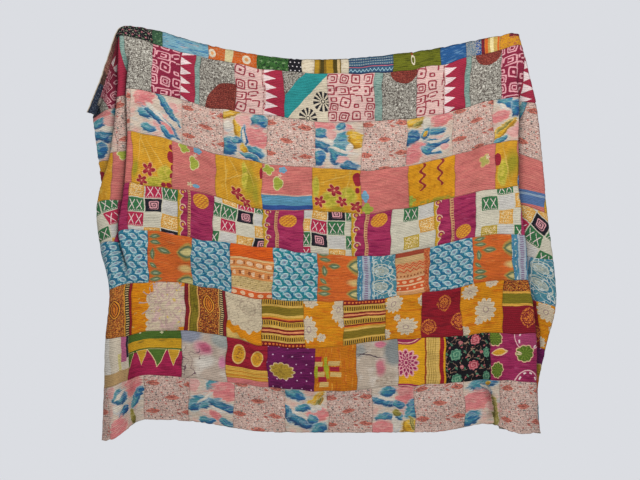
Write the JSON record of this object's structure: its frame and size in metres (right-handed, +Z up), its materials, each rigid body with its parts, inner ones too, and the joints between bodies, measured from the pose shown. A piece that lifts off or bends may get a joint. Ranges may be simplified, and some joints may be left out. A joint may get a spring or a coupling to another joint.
{
  "type": "kantha quilt",
  "caption": "Patchwork kantha quilt hung by two points of its long top edge, which sags between them, with the cloth beyond each point folded back in a long Z.",
  "frame": {"origin": "the middle of the quilt's top edge, at its lowest point between the two points that hold it up", "axes": "+X along the quilt's long side, +Y back towards the wall, +Z up"},
  "size_m": [1.8086, 0.1068, 1.5989],
  "materials": {
    "patched_cotton": "patched printed cotton with close rows of running stitch"
  },
  "bodies": {
    "root": {"quilt_cloth": "patched_cotton"}
  },
  "joints": []
}
